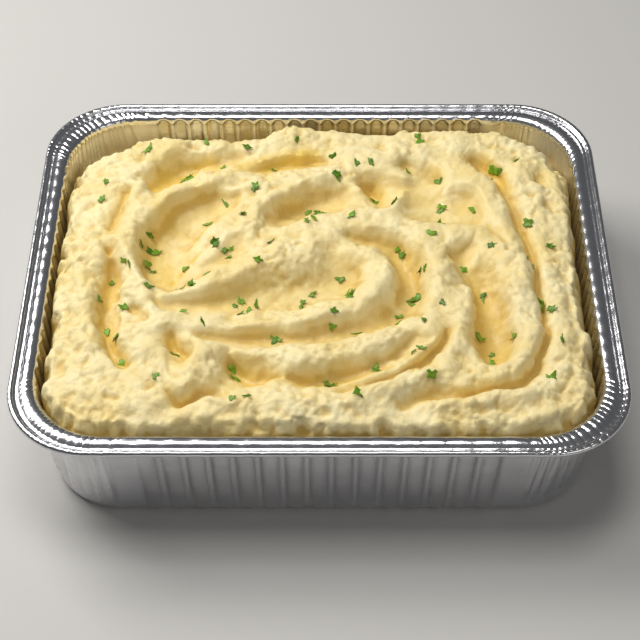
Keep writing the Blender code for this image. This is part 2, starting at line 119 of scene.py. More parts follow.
# A stroke is a crest or a furrow floor drawn through a few points (x, y, height) in
# millimetres, with a roundness (mm) and the slopes of the flanks to its left and right.
RIDGES = (
    # outer bank along the left wall, with its lobe
    (9, 1.4, 1.4, ((-126, 4, 75), (-130, -12, 75), (-128, -30, 75), (-125, -50, 75), (-120, -66, 74),
        (-118, -76, 73))),
    (7, 1.5, 1.6, ((-139, -13, 71), (-133, -2, 75), (-125, 5, 76), (-117, 2, 75))),
    (8, 1.2, 1.2, ((-133, 57, 70), (-136, 40, 69), (-138, 15, 69), (-140, -15, 69), (-139, -50, 69),
        (-134, -88, 69))),
    (9, 1.2, 1.2, ((-112, 76, 73), (-118, 62, 73), (-122, 48, 72), (-126, 30, 72), (-128, 16, 72))),
    # back rows
    (7, 1.4, 1.4, ((-110, 76, 72), (-100, 78, 74), (-92, 85, 75), (-84, 90, 76), (-75, 88, 74),
        (-62, 91, 74), (-48, 95, 73), (-35, 98, 73), (-22, 103, 75), (-16, 108, 76), (-9, 105, 74))),
    (8, 1.3, 1.3, ((-9, 105, 74), (3, 103, 73), (18, 97, 72), (28, 102, 73), (40, 98, 72), (58, 100, 73),
        (78, 100, 75), (88, 99, 75), (98, 94, 73))),
    (7, 1.3, 1.5, ((88, 97, 74), (96, 88, 73), (105, 86, 72), (112, 84, 72))),
    # the broad hooded bank to the left of the large hollow
    (8, 1.5, 1.9, ((-102, 57, 77), (-104, 45, 77), (-107, 32, 76), (-109, 20, 76), (-108, 8, 75),
        (-104, -4, 75), (-99, -14, 76), (-96, -27, 75), (-90, -36, 74))),
    # long arch over the hollow, and the crests behind and inside it
    (8, 1.5, 1.6, ((-95, 35, 76), (-88, 43, 77), (-82, 49, 77), (-75, 53, 77), (-66, 57, 77), (-55, 65, 77),
        (-45, 72, 77), (-30, 80, 76), (-12, 85, 75), (8, 85, 74), (28, 82, 74), (45, 84, 75), (58, 86, 75))),
    (5, 1.5, 1.5, ((-56, 56, 74), (-46, 56, 75), (-34, 58, 75), (-24, 61, 74), (-12, 66, 74), (5, 72, 74),
        (22, 74, 73), (38, 72, 73), (49, 66, 74))),
    (5, 1.4, 1.4, ((-61, 2, 72), (-52, 16, 73), (-48, 32, 73), (-43, 46, 73))),
    (6, 1.5, 1.7, ((-44, 20, 75), (-38, 34, 76), (-30, 43, 77), (-20, 50, 77), (-10, 57, 77), (-2, 63, 77),
        (6, 65, 76), (16, 62, 74), (22, 55, 73))),
    # crest below the two deep pits, up round the right one
    (5, 1.5, 1.6, ((-24, 14, 74), (-12, 20, 75), (0, 25, 75), (12, 29, 76), (24, 32, 76), (34, 33, 76),
        (42, 38, 76), (45, 47, 76), (49, 55, 75))),
    (4, 1.5, 1.5, ((73, 54, 73), (77, 63, 74), (75, 75, 74), (61, 83, 74))),
    # main arm of the swirl
    (9, 1.5, 1.5, ((-83, -28, 74), (-70, -26, 75), (-55, -19, 77), (-40, -10, 77), (-27, -5, 77),
        (-14, 3, 78), (-3, 12, 78), (8, 19, 77), (22, 22, 77), (38, 22, 77), (50, 17, 77), (60, 5, 78),
        (65, -12, 78), (67, -30, 78), (65, -44, 78), (56, -54, 77), (42, -62, 77), (28, -67, 76),
        (12, -71, 76), (-4, -73, 76), (-14, -80, 75), (-22, -88, 73))),
    (5, 1.5, 1.5, ((-8, -74, 75), (-26, -72, 74), (-46, -69, 74), (-58, -64, 74))),
    # hook inside the arm, and its tail to the left
    (7, 1.6, 1.6, ((14, 4, 75), (24, 2, 76), (32, -5, 77), (35, -15, 77), (33, -26, 77), (24, -35, 77),
        (10, -43, 76), (-5, -48, 76), (-22, -50, 75), (-40, -51, 75), (-58, -52, 75), (-74, -52, 75),
        (-86, -45, 74), (-92, -38, 73))),
    # lower left: knob and the ridge beside it
    (10, 1.4, 1.4, ((-97, -60, 74), (-93, -70, 76), (-91, -82, 75))),
    (8, 1.5, 1.7, ((-66, -60, 76), (-62, -70, 76), (-65, -82, 76), (-70, -93, 76), (-82, -100, 75),
        (-95, -99, 74))),
    (9, 1.2, 1.2, ((-130, -80, 73), (-119, -92, 74), (-106, -100, 74), (-92, -107, 73))),
    # ropes below the swirl, turning up on its right
    (4, 1.8, 1.8, ((22, -91, 74), (33, -86, 75), (43, -81, 75), (52, -75, 76), (60, -66, 76),
        (65, -54, 76))),
    (6, 1.5, 1.8, ((-55, -103, 74), (-38, -106, 75), (-18, -105, 75), (0, -106, 75), (14, -106, 75),
        (24, -100, 76), (35, -95, 76), (46, -91, 76), (58, -86, 77), (67, -78, 77), (72, -66, 77),
        (75, -53, 78), (79, -42, 77), (80, -25, 75))),
    (7, 1.0, 1.0, ((-119, -111, 70), (-90, -114, 70), (-60, -111, 71), (-30, -113, 71), (0, -113, 71),
        (35, -114, 70), (70, -112, 70), (104, -109, 71), (124, -101, 70))),
    # right side
    (8, 1.5, 1.5, ((70, 16, 76), (80, 19, 77), (88, 20, 77), (92, 12, 76), (90, 2, 75), (84, -6, 74))),
    (11, 1.0, 2.0, ((78, 59, 76), (87, 58, 78), (94, 50, 78), (97, 38, 78), (99, 24, 78), (102, 8, 78),
        (105, -8, 78), (109, -25, 78), (112, -42, 78), (112, -58, 78), (108, -72, 77), (99, -81, 77),
        (88, -83, 75), (79, -76, 74))),
    (9, 1.3, 1.3, ((110, 84, 72), (115, 72, 74), (119, 60, 74), (121, 45, 74), (122, 25, 73), (125, 5, 73),
        (127, -15, 74), (129, -35, 74), (131, -55, 74), (131, -75, 74), (127, -92, 73))),
    (7, 1.2, 1.2, ((131, 76, 70), (135, 50, 70), (135, 15, 71), (136, -25, 71), (137, -65, 71))),
    (6, 1.5, 1.5, ((58, -108, 74), (70, -106, 75), (82, -105, 75), (95, -102, 75), (108, -99, 75),
        (120, -97, 74))),
)
FURROWS = (
    (5, 1.8, 1.8, ((-118, 5, 63), (-115, -5, 63), (-115, -20, 64), (-116, -35, 64), (-114, -50, 65),
        (-110, -65, 66), (-102, -76, 67))),
    (3, 1.8, 1.8, ((-111, 53, 70), (-115, 37, 69), (-119, 24, 69))),
    # the large hollow: deep under the arch, and a crease along its lower edge
    (7, 1.8, 0.45, ((-95, -6, 64), (-93, 6, 62), (-92, 20, 62), (-87, 36, 62), (-77, 46, 63), (-63, 53, 65),
        (-52, 54, 68))),
    (4, 0.5, 1.6, ((-90, -12, 64), (-80, -17, 65), (-70, -10, 66), (-58, 0, 68), (-46, 10, 70))),
    (6, 1.2, 1.5, ((-96, 62, 64), (-90, 70, 63), (-78, 78, 64), (-63, 83, 66), (-50, 86, 69))),
    (5, 1.3, 1.5, ((-48, 71, 67), (-36, 76, 63), (-20, 81, 62), (-7, 83, 64), (2, 83, 67))),
    # two deep pits
    (6, 1.2, 1.0, ((-22, 36, 67), (-17, 43, 64), (-7, 48, 64), (4, 50, 66), (14, 50, 68), (20, 48, 70))),
    (5, 1.4, 1.4, ((30, 61, 59), (34, 58, 59))),
    (10, 0.5, 0.5, ((50, 53, 68), (63, 50, 67), (76, 46, 68), (84, 40, 69))),
    (4, 1.6, 1.6, ((50, 78, 69), (54, 76, 70))),
    (5, 1.4, 1.4, ((62, 72, 67), (68, 68, 66), (70, 64, 68))),
    # right of the right arm, round its foot and along the front
    (4, 1.7, 1.7, ((92, 84, 66), (97, 79, 63), (103, 72, 64), (107, 60, 67), (109, 48, 67), (113, 32, 66),
        (116, 24, 65))),
    (3, 1.7, 1.7, ((116, 24, 65), (117, 12, 67), (119, 0, 68), (119, -15, 68), (119, -28, 67),
        (121, -43, 67), (121, -58, 67), (117, -72, 66), (113, -82, 65), (105, -90, 66), (94, -93, 68),
        (82, -97, 68), (68, -99, 69), (54, -99, 69), (42, -105, 69))),
    (3, 1.2, 1.2, ((95, 28, 74), (99, 18, 72), (104, 8, 73))),
    # between the arm and the hook
    (6, 1.3, 1.3, ((18, 19, 69), (30, 17, 67), (40, 12, 66), (47, 1, 65), (50, -14, 65), (49, -28, 66),
        (41, -39, 66), (26, -47, 67), (6, -53, 67), (-15, -56, 67), (-36, -56, 66), (-52, -55, 67),
        (-63, -57, 69))),
    # inside the hook
    (6, 1.1, 1.1, ((-86, -32, 68), (-68, -31, 67), (-50, -29, 67), (-30, -27, 67), (-12, -24, 67),
        (3, -19, 67), (12, -10, 68), (12, -1, 70))),
    (6, 0.7, 1.5, ((80, -1, 70), (84, -15, 66), (87, -30, 64), (89, -45, 63), (91, -60, 63), (91, -70, 65))),
    # below the swirl
    (4, 1.5, 1.5, ((-48, -68, 66), (-44, -76, 61), (-36, -81, 62), (-22, -85, 64), (-6, -87, 65),
        (10, -85, 66), (22, -80, 67), (32, -75, 68), (42, -69, 69), (52, -60, 71))),
    (3, 1.7, 1.7, ((14, -94, 69), (28, -90, 69), (42, -83, 69), (53, -77, 68), (62, -69, 69),
        (68, -57, 70))),
    # lower left
    (5, 1.5, 1.5, ((-79, -57, 67), (-77, -62, 64), (-74, -66, 64), (-72, -69, 67))),
    (3, 1.6, 1.6, ((-77, -98, 67), (-70, -103, 64), (-61, -98, 66), (-52, -96, 68))),
    (3, 1.6, 1.6, ((-101, -36, 69), (-93, -43, 70))),
    (3, 1.6, 1.6, ((-109, -100, 68), (-103, -101, 68))),
)

# Where melted butter lies: strength, half width (mm), line (x, y) in millimetres.
BUTTER = (
    (0.55, 12, ((-68, 52), (-86, 36), (-92, 15), (-84, -6))),
    (0.95, 2.6, ((-60, 17), (-70, 4), (-82, -12))),
    (1.00, 6.5, ((-46, 77), (-28, 81), (-14, 84), (-3, 86))),
    (0.80, 6.0, ((-97, 65), (-87, 74), (-73, 80), (-62, 85))),
    (0.80, 7.0, ((31, 61), (33, 57))),
    (0.50, 7.0, ((-18, 53), (-8, 46), (6, 43))),
    (0.45, 12, ((50, 55), (66, 50), (82, 42))),
    (0.60, 5.0, ((64, 76), (70, 72))),
    (0.65, 8.0, ((85, -10), (91, -36), (93, -66))),
    (0.40, 9.0, ((-74, -30), (-40, -23), (-4, -16), (16, -14))),
    (0.35, 8.0, ((-55, -55), (-10, -54), (36, -46), (52, -20), (50, 5))),
    (0.60, 6.5, ((-47, -73), (-28, -86), (12, -88), (34, -81))),
    (0.50, 4.0, ((34, -81), (52, -72), (64, -62))),
    (0.50, 5.0, ((-119, 8), (-115, -20), (-115, -45), (-103, -75))),
    (0.70, 5.0, ((-80, -58), (-76, -64))),
    (0.60, 4.5, ((97, 85), (104, 73), (110, 55))),
    (0.45, 4.0, ((54, -101), (86, -92), (98, -90))),
)


# ------------------------------------------------------------------ shader maths

class Wire:
    """A socket in a material's node tree, with Python's arithmetic on it."""

    def __init__(self, paint, socket):
        self.paint = paint
        self.socket = socket

    def maths(self, operation, *values):
        """A Math node on this value and the others."""
        wired = {i: v for i, v in enumerate(values)}
        return self.paint.node("ShaderNodeMath", {"operation": operation}, wired)

    def __add__(self, other):
        return self.maths("ADD", self, other)

    def __radd__(self, other):
        return self.maths("ADD", other, self)

    def __sub__(self, other):
        return self.maths("SUBTRACT", self, other)

    def __rsub__(self, other):
        return self.maths("SUBTRACT", other, self)

    def __mul__(self, other):
        return self.maths("MULTIPLY", self, other)

    def __rmul__(self, other):
        return self.maths("MULTIPLY", other, self)

    def __truediv__(self, other):
        return self.maths("DIVIDE", self, other)

    def power(self, other):
        """This value to a power."""
        return self.maths("POWER", self, other)

    def clamp(self):
        """This value kept between 0 and 1."""
        return self.paint.node("ShaderNodeClamp", {}, {0: self})


class Paint:
    """A material being written: a Principled shader and the nodes that feed it."""

    def __init__(self, name, **constants):
        self.material = bpy.data.materials.new(name)
        self.material.use_nodes = True
        self.tree = self.material.node_tree
        self.shader = self.tree.nodes["Principled BSDF"]
        for socket, value in constants.items():
            self.shader.inputs[socket.replace("_", " ")].default_value = value

    def node(self, kind, settings, values, output=0):
        """Any node: its settings first, then the values or wires of its sockets."""
        node = self.tree.nodes.new(kind)
        for name, value in settings.items():
            if name == "stops":
                ramp = node.color_ramp.elements
                while len(ramp) < len(value):
                    ramp.new(0.5)
                for stop, (place, colour) in zip(ramp, value):
                    stop.position = place
                    stop.color = (*colour, 1.0)
            else:
                setattr(node, name, value)
        for name, value in values.items():
            if isinstance(value, Wire):
                self.tree.links.new(value.socket, node.inputs[name])
            else:
                node.inputs[name].default_value = value
        return Wire(self, node.outputs[output])

    def feed(self, **wires):
        """Link wires to the shader's sockets."""
        for name, wire in wires.items():
            self.tree.links.new(wire.socket, self.shader.inputs[name.replace("_", " ")])

    def place(self):
        """Object coordinates."""
        return self.node("ShaderNodeTexCoord", {}, {}, "Object")

    def stretched(self, x, y, z):
        """Object coordinates scaled differently along each axis."""
        return self.node("ShaderNodeMapping", {}, {"Vector": self.place(), "Scale": (x, y, z)})

    def noise(self, scale, detail=2.0, roughness=0.5, where=None, distortion=0.0):
        """Noise of a given number of features a metre."""
        values = {"Scale": scale, "Detail": detail, "Roughness": roughness, "Distortion": distortion,
                  "Vector": where or self.place()}
        return self.node("ShaderNodeTexNoise", {}, values, "Fac")

    def attribute(self, name):
        """A number kept on the mesh's points."""
        return self.node("ShaderNodeAttribute", {"attribute_name": name}, {}, "Fac")

    def spread(self, wire, low, high, to_low=0.0, to_high=1.0):
        """Map a range onto another, held at its ends."""
        values = {"Value": wire, "From Min": low, "From Max": high, "To Min": to_low, "To Max": to_high}
        return self.node("ShaderNodeMapRange", {"clamp": True}, values)

    def blend(self, share, first, second):
        """Mix two colours."""
        values = {"Factor": share, 6: first, 7: second}
        return self.node("ShaderNodeMix", {"data_type": "RGBA"}, values, 2)

    def bump(self, height, distance, strength=1.0, normal=None):
        """A bump from a height."""
        values = {"Height": height, "Distance": distance, "Strength": strength}
        if normal:
            values["Normal"] = normal
        return self.node("ShaderNodeBump", {}, values)


def rgb(red, green, blue):
    """A colour given in screen values of 0 to 255, as linear light."""
    levels = np.array((red, green, blue)) / 255
    linear = np.where(levels <= 0.04045, levels / 12.92, ((levels + 0.055) / 1.055) ** 2.4)
    return tuple(float(v) for v in linear)


def rgba(red, green, blue):
    """The same with an alpha of 1."""
    return (*rgb(red, green, blue), 1.0)


# ------------------------------------------------------------------ mesh helpers

def make_piece(name, points, faces, mat, smooth=True):
    """A mesh object at the origin from arrays of points and of equal-sided faces."""
    mesh = bpy.data.meshes.new(name)
    count, sides = faces.shape
    mesh.vertices.add(len(points))
    mesh.vertices.foreach_set("co", np.ascontiguousarray(points, dtype=np.float32).ravel())
    mesh.loops.add(count * sides)
    mesh.loops.foreach_set("vertex_index", np.ascontiguousarray(faces, dtype=np.int32).ravel())
    mesh.polygons.add(count)
    mesh.polygons.foreach_set("loop_start", np.arange(count, dtype=np.int32) * sides)
    mesh.polygons.foreach_set("use_smooth", np.full(count, smooth))
    mesh.update(calc_edges=True)
    mesh.materials.append(mat)
    obj = bpy.data.objects.new(name, mesh)
    bpy.context.scene.collection.objects.link(obj)
    return obj


def point_value(obj, name, values):
    """Keep one number a point on the mesh."""
    layer = obj.data.attributes.new(name, "FLOAT", "POINT")
    layer.data.foreach_set("value", np.ascontiguousarray(values, dtype=np.float32))


def band_faces(rows, columns, closed):
    """Quads between the rows of a grid; closed joins the last column to the first."""
    i = np.arange(rows - 1)[:, None]
    j = np.arange(columns if closed else columns - 1)[None, :]
    k = (j + 1) % columns
    quad = np.stack(np.broadcast_arrays(i * columns + j, i * columns + k,
                                        (i + 1) * columns + k, (i + 1) * columns + j), axis=-1)
    return quad.reshape(-1, 4)


def smoothstep(value, low, high):
    """0 below low, 1 above high, an S-curve between."""
    t = np.clip((value - low) / (high - low), 0, 1)
    return t * t * (3 - 2 * t)


def hash_grid(i, j, k, seed):
    """Three even random numbers in 0..1 for each whole-numbered cell."""
    cell = (i * 73856093) ^ (j * 19349663) ^ (k * 83492791) ^ (seed * 2654435761)
    out = []
    for turn in range(3):
        word = (cell + turn * 7919) & 0xFFFFFFFF
        word = ((word ^ (word >> 16)) * 0x45D9F3B) & 0xFFFFFFFF
        word = ((word ^ (word >> 16)) * 0x45D9F3B) & 0xFFFFFFFF
        word = word ^ (word >> 16)
        out.append((word & 0xFFFFFF) / float(0x1000000))
    return out


def value_noise(points, pitch, seed):
    """Smooth noise in -1..1: random values on a lattice of the given pitch, blended."""
    scaled = points / pitch + 512.0
    cell = np.floor(scaled).astype(np.int64)
    part = scaled - cell
    part = part ** 3 * (part * (part * 6 - 15) + 10)
    total = np.zeros(len(points))
    for di in (0, 1):
        for dj in (0, 1):
            for dk in (0, 1):
                share = (np.abs(1 - di - part[:, 0]) * np.abs(1 - dj - part[:, 1])
                         * np.abs(1 - dk - part[:, 2]))
                total += share * hash_grid(cell[:, 0] + di, cell[:, 1] + dj, cell[:, 2] + dk, seed)[0]
    return 2 * total - 1


def layered_noise(points, pitch, seed, layers=3, gain=0.5):
    """Value noise in layers, each twice as fine and a share as strong as the last."""
    total = np.zeros(len(points))
    strength = 1.0
    for layer in range(layers):
        total += strength * value_noise(points, pitch / 2 ** layer, seed + layer)
        strength *= gain
    return total


def grain_domes(points, pitch, seed):
    """Rounded grains: 1 at a grain's middle, falling to 0 in the creases between grains.

    The distance to the nearest of one random point a cell, turned into a dome.
    """
    scaled = points / pitch + 512.0
    cell = np.floor(scaled).astype(np.int64)
    nearest = np.full(len(points), 9.0)
    for di in (-1, 0, 1):
        for dj in (-1, 0, 1):
            for dk in (-1, 0, 1):
                i, j, k = cell[:, 0] + di, cell[:, 1] + dj, cell[:, 2] + dk
                rx, ry, rz = hash_grid(i, j, k, seed)
                squared = ((scaled[:, 0] - i - rx) ** 2 + (scaled[:, 1] - j - ry) ** 2
                           + (scaled[:, 2] - k - rz) ** 2)
                nearest = np.minimum(nearest, squared)
    return np.clip(1 - nearest / 0.9, 0, 1)


# ------------------------------------------------------------------ strokes in the mash

def smooth_curve(stroke_points, steps=8):
    """Catmull-Rom curve through given points, in metres."""
    knots = np.array(stroke_points, dtype=float) * MM
    knots = np.vstack((2 * knots[0] - knots[1], knots, 2 * knots[-1] - knots[-2]))
    t = np.linspace(0, 1, steps, endpoint=False)[:, None]
    runs = []
    for i in range(1, len(knots) - 2):
        p0, p1, p2, p3 = knots[i - 1:i + 3]
        runs.append(0.5 * (2 * p1 + (p2 - p0) * t + (2 * p0 - 5 * p1 + 4 * p2 - p3) * t ** 2
                           + (3 * p1 - 3 * p2 + p3 - p0) * t ** 3))
    runs.append(knots[-2:-1])
    return np.vstack(runs)


def nearest_on_curve(x, y, curve):
    """Distance to the curve, the side, how far along it and its height there.

    The side is 1 square to the left of the curve, -1 square to the right and 0 off its ends.
    """
    best = np.full(x.shape, np.inf)
    side = np.zeros(x.shape)
    along = np.zeros(x.shape)
    height = np.zeros(x.shape)
    travelled = 0.0
    for a, b in zip(curve[:-1], curve[1:]):
        dx, dy = b[0] - a[0], b[1] - a[1]
        length = math.hypot(dx, dy)
        t = np.clip(((x - a[0]) * dx + (y - a[1]) * dy) / length ** 2, 0, 1)
        off_x = x - a[0] - t * dx
        off_y = y - a[1] - t * dy
        squared = off_x ** 2 + off_y ** 2
        nearer = squared < best
        best = np.where(nearer, squared, best)
        side = np.where(nearer, (dx * off_y - dy * off_x) / length, side)
        along = np.where(nearer, travelled + t * length, along)
        if len(a) > 2:
            height = np.where(nearer, a[2] + t * (b[2] - a[2]), height)
        travelled += length
    distance = np.sqrt(best)
    return distance, side / np.maximum(distance, 1e-9), along, height


def near_curve(x, y, curve, reach):
    """Which points lie in the curve's box, widened by a reach."""
    low = curve[:, :2].min(axis=0) - reach
    high = curve[:, :2].max(axis=0) + reach
    return (x > low[0]) & (x < high[0]) & (y > low[1]) & (y < high[1])


def soft_limit(a, b, softness, sign):
    """Smooth maximum (sign +1) or minimum (sign -1) of two heights."""
    return 0.5 * (a + b + sign * np.sqrt((a - b) ** 2 + softness ** 2))


def inside_depth(x, y, half_x, half_y, corner):
    """How far a point lies inside a rounded rectangle."""
    qx = np.abs(x) - (half_x - corner)
    qy = np.abs(y) - (half_y - corner)
    outside = np.hypot(np.maximum(qx, 0), np.maximum(qy, 0))
    return corner - outside - np.minimum(np.maximum(qx, qy), 0)


def plan_point(a, b, half_x, half_y, corner):
    """Carry a point of the square's border (a or b is -1 or 1) onto a rounded rectangle."""
    x = a * half_x
    y = b * half_y
    past_x = np.clip((np.abs(x) - (half_x - corner)) / corner, 0, 1)
    past_y = np.clip((np.abs(y) - (half_y - corner)) / corner, 0, 1)
    quarter = math.radians(90)
    angle = np.where(np.abs(a) >= np.abs(b), past_y * quarter / 2, quarter - past_x * quarter / 2)
    in_corner = (past_x > 0) & (past_y > 0)
    arc_x = np.sign(x) * (half_x - corner + corner * np.cos(angle))
    arc_y = np.sign(y) * (half_y - corner + corner * np.sin(angle))
    return np.where(in_corner, arc_x, x), np.where(in_corner, arc_y, y)


def wall_inset(height):
    """Inset of the wall's outer face from the rim's outer edge: the wall leans in going down."""
    share = (height - FLUTE_FOOT) / (0.0650 - FLUTE_FOOT)
    return WALL_BASE_INSET + (WALL_TOP_INSET - WALL_BASE_INSET) * share


def shoulder_height(x, y):
    """Height of the shoulder that ends the heap on all sides.

    It crosses its own height on a rounded outline, and falls away outside it: steeply at the
    ends and the front, at about 50 degrees at the back, where the heap stops short of the wall.
    """
    back = (BACK_REACH + BACK_STEP * smoothstep(x, -0.045, 0.0)
            + PEAK_REACH * np.exp(-((x + 0.015) / 0.013) ** 2))
    behind = inside_depth(x, y, SIDE_REACH, back, 0.055)
    before = inside_depth(x, y, SIDE_REACH, FRONT_REACH, 0.036)
    depth = np.where(y > 0, behind, before)
    flat = np.column_stack((x, y, np.zeros(x.shape)))
    ragged = 0.0022 * value_noise(flat, 0.0085, SEED + 5) + 0.0012 * value_noise(flat, 0.0040, SEED + 6)
    slope = 3.0 - 1.75 * smoothstep(y, 0.045, 0.085)
    return SHOULDER_HEIGHT + slope * (depth + ragged)


def box_blur(values, shape, reach):
    """Mean over a square of cells, edges repeated, twice over."""
    grid = values.reshape(shape)
    for _ in range(2):
        for axis in (0, 1):
            pad = [(0, 0), (0, 0)]
            pad[axis] = (reach + 1, reach)
            total = np.cumsum(np.pad(grid, pad, mode="edge"), axis=axis)
            ahead = np.take(total, range(2 * reach + 1, total.shape[axis]), axis=axis)
            behind = np.take(total, range(0, total.shape[axis] - 2 * reach - 1), axis=axis)
            grid = (ahead - behind) / (2 * reach + 1)
    return grid.ravel()


class MashSurface:
    """The mash's top: heights, wiped furrow floors and butter at every point of its grid."""

    def __init__(self):
        cells_x, cells_y = MASH_CELLS
        inset = wall_inset(SIDE_HEIGHT) + FOIL + MASH_GAP
        self.half_x = HALF_X - inset
        self.half_y = HALF_Y - inset
        self.corner = WALL_CORNER - FOIL - MASH_GAP
        u, v = np.meshgrid(np.linspace(-1, 1, cells_x + 1), np.linspace(-1, 1, cells_y + 1))
        self.shape = u.shape
        self.u = u.ravel()
        self.v = v.ravel()
        spread = np.maximum(np.abs(self.u), np.abs(self.v))
        safe = np.where(spread > 0, spread, 1)
        edge_x, edge_y = plan_point(self.u / safe, self.v / safe, self.half_x, self.half_y, self.corner)
        reach = 1 - (1 - spread) ** 1.06
        self.x = edge_x * reach
        self.y = edge_y * reach
        self.shape_heap()
        self.stain()

    def press(self, stroke, sign):
        """Draw the heap towards a stroke: a crest (+1) or a furrow's floor (-1).

        The heap's height is the mean of all the strokes' heights.  Each weighs
        ((r + 2 mm) / apart) ^ 2 at its distance d, where apart is the length of
        (d * slope, 0.8 mm + r / 4), so wide strokes with gentle sides reach further.
        """
        roundness, left, right, stroke_points = stroke
        curve = smooth_curve(stroke_points)
        curve[:, 2] += sign * STROKE_LIFT
        near = near_curve(self.x, self.y, curve, STROKE_REACH)
        distance, side, along, height = nearest_on_curve(self.bent_x[near], self.bent_y[near], curve)
        slope = (0.5 * (left + right) + 0.5 * side * (left - right)) / STROKE_SLOPE
        apart = np.hypot(distance * slope, (0.8 + 0.25 * roundness) * MM)
        fade = np.clip(1 - (distance / STROKE_REACH) ** 2, 0, 1) ** 2
        weight = ((roundness + 2.0) * MM / apart) ** STROKE_POWER * fade
        self.weight[near] += weight
        self.heap[near] += weight * height
        if sign < 0:
            smooth = np.exp(-(distance * slope / ((1.1 * roundness + 1.2) * MM)) ** 2)
            drag = value_noise(np.column_stack((distance * side / 0.0011, along / 0.016,
                                                np.full(distance.shape, roundness))), 1.0, 31)
            self.drag[near] += smooth * drag
            self.wiped[near] = np.maximum(self.wiped[near], smooth)

    def shape_heap(self):
        """The weighted strokes, broad lumps and the rounded shoulder along the walls."""
        x, y = self.x, self.y
        flat = np.column_stack((x, y, np.zeros(x.shape)))
        self.bent_x = (x + BEND * value_noise(flat, BEND_PITCH, SEED + 20)
                       + SMALL_BEND * value_noise(flat, SMALL_BEND_PITCH, 3))
        self.bent_y = (y + BEND * value_noise(flat, BEND_PITCH, SEED + 21)
                       + SMALL_BEND * value_noise(flat, SMALL_BEND_PITCH, 4))
        self.weight = np.full(x.shape, HEAP_WEIGHT)
        self.heap = HEAP_WEIGHT * HEAP_LEVEL * np.ones(x.shape)
        self.wiped = np.zeros(x.shape)
        self.drag = np.zeros(x.shape)
        for stroke in RIDGES:
            self.press(stroke, 1)
        for stroke in FURROWS:
            self.press(stroke, -1)
        self.heap /= self.weight
        self.heap += BROAD_LUMP * layered_noise(flat, BROAD_LUMP_PITCH, SEED, 2) * (1 - 0.6 * self.wiped)
        self.heap = soft_limit(self.heap, shoulder_height(x, y), SHOULDER_BLEND, -1)
        self.heap = soft_limit(self.heap, SIDE_HEIGHT + 0.002, 0.0010, 1)

    def stain(self):
        """How much butter each point holds, from the butter lines."""
        self.butter = np.zeros(self.x.shape)
        for strength, width, line in BUTTER:
            curve = smooth_curve(line)
            near = near_curve(self.x, self.y, curve, 3 * width * MM)
            distance = nearest_on_curve(self.x[near], self.y[near], curve)[0]
            spread = strength * np.exp(-(distance / (width * MM)) ** 2)
            self.butter[near] = np.maximum(self.butter[near], spread)

    def points(self):
        """The finished top: the heap, pushed out along its normals by grains and lumps."""
        base = np.column_stack((self.x, self.y, self.heap))
        normals = grid_normals(base, self.shape)
        warp = np.column_stack([value_noise(base, 0.008, SEED + 20 + i) for i in range(3)])
        bent = base + 0.0016 * warp
        large = grain_domes(bent, LARGE_GRAIN_PITCH, SEED) - 0.7
        middling = grain_domes(bent, MIDDLING_GRAIN_PITCH, SEED + 1) - 0.7
        small = grain_domes(bent, SMALL_GRAIN_PITCH, SEED + 2) - 0.7
        fine = value_noise(bent, 0.0021, SEED + 9)
        patchy = 0.85 + 0.45 * value_noise(base, 0.022, SEED + 3)
        rough = (1 - 0.75 * self.wiped) * np.clip(patchy, 0.45, 1.25)
        swell = value_noise(base, 0.0115, SEED + 12)
        lumps = value_noise(bent, 0.0062, SEED + 13) + 0.6 * value_noise(bent, 0.0034, SEED + 14)
        push = 0.0011 * swell * (1 - 0.6 * self.wiped)
        push += (LARGE_GRAIN * large + MIDDLING_GRAIN * middling + SMALL_GRAIN * small
                 + LUMP * lumps + FINE * fine) * rough
        push += 0.00010 * self.drag
        room = inside_depth(self.x, self.y, self.half_x, self.half_y, self.corner)
        push *= smoothstep(room, 0.0002, 0.0035)
        push = np.minimum(push, 0.6 * room)
        done = base + normals * push[:, None]
        # Depth below the fine and the broad mean height, which drives the painted shade in creases and
        # hollows.
        self.cavity = box_blur(done[:, 2], self.shape, CAVITY_CELLS) - done[:, 2]
        self.hollow = box_blur(done[:, 2], self.shape, HOLLOW_CELLS) - done[:, 2]
        return done


def grid_normals(points, shape):
    """Unit normals of a grid surface from its central differences."""
    grid = points.reshape(*shape, 3)
    across = np.gradient(grid, axis=1)
    up = np.gradient(grid, axis=0)
    normal = np.cross(across, up).reshape(-1, 3)
    return normal / np.linalg.norm(normal, axis=1, keepdims=True)


